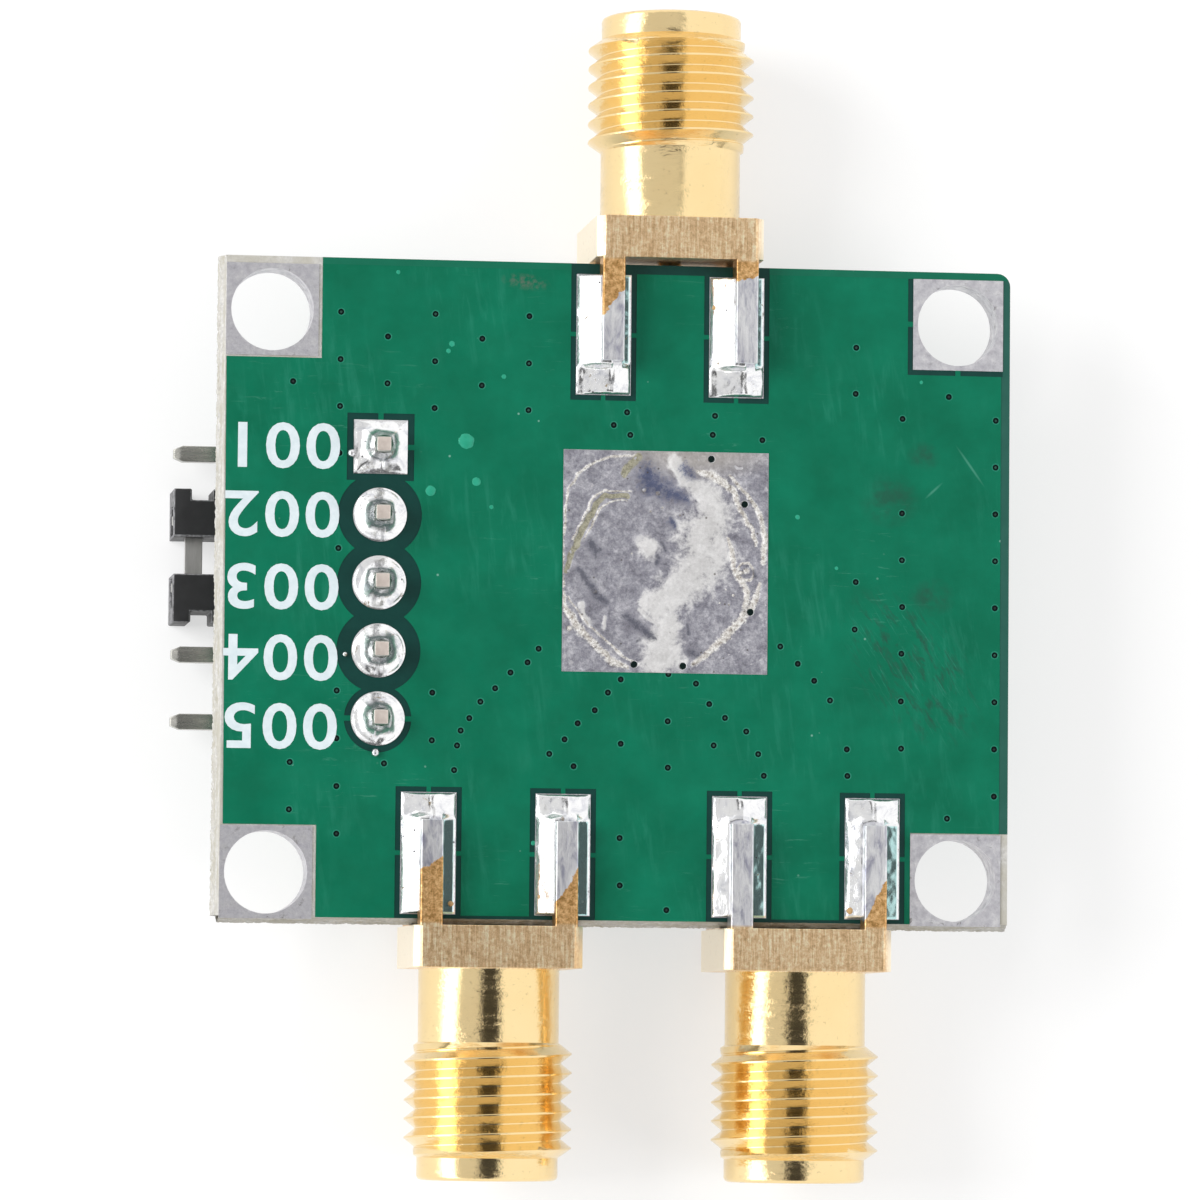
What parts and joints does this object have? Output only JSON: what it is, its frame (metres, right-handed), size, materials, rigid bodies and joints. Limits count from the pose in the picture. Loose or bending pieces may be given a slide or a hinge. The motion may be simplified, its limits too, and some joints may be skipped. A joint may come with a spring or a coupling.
{
  "type": "rf switch module",
  "caption": "Small green switch board with edge-launch gold coaxial jacks, tinned corner holes, a bent pin row and a jumper cap.",
  "frame": {"origin": "centre of the four mounting holes on the board's solder-side face", "axes": "+Z out of the solder side, +Y towards the common jack, +X to the right seen from the solder side"},
  "size_m": [0.0313, 0.0441, 0.0074],
  "materials": {
    "laminate": "green solder mask on glass-epoxy laminate",
    "tinned_copper": "dull tinned copper",
    "gold_brass": "gold-plated brass, milled flange and turned barrel",
    "gold_contact": "gold-plated contact",
    "fluoropolymer": "white fluoropolymer",
    "black_plastic": "moulded black thermoplastic",
    "tinned_pin": "tin-plated bronze",
    "solder": "bright tin solder",
    "chip_compound": "moulding compound",
    "capacitor_ceramic": "fired ceramic with tinned ends",
    "resistor_body": "glazed black film on white ceramic, tinned ends"
  },
  "bodies": {
    "root": {"board": "laminate", "bypass_capacitor_1": "capacitor_ceramic", "bypass_capacitor_2": "capacitor_ceramic", "bypass_capacitor_3": "capacitor_ceramic", "chip_lands": "tinned_copper", "common_body": "gold_brass", "common_contact": "gold_contact", "common_coupling_capacitor": "capacitor_ceramic", "common_insulator": "fluoropolymer", "common_solder": "solder", "corner_plating": "tinned_copper", "ground_pad": "tinned_copper", "ground_solder": "solder", "header_eyelets": "tinned_copper", "header_housing": "black_plastic", "header_pin_1": "tinned_pin", "header_pin_2": "tinned_pin", "header_pin_3": "tinned_pin", "header_pin_4": "tinned_pin", "header_pin_5": "tinned_pin", "header_solder": "solder", "jumper_contact": "tinned_pin", "jumper_housing": "black_plastic", "leg_lands": "tinned_copper", "port_1_body": "gold_brass", "port_1_contact": "gold_contact", "port_1_coupling_capacitor": "capacitor_ceramic", "port_1_insulator": "fluoropolymer", "port_1_solder": "solder", "port_2_body": "gold_brass", "port_2_contact": "gold_contact", "port_2_coupling_capacitor": "capacitor_ceramic", "port_2_insulator": "fluoropolymer", "port_2_solder": "solder", "resistor_1": "resistor_body", "resistor_2": "resistor_body", "signal_lands": "tinned_copper", "small_part_lands": "tinned_copper", "switch_chip": "chip_compound"}
  },
  "joints": []
}
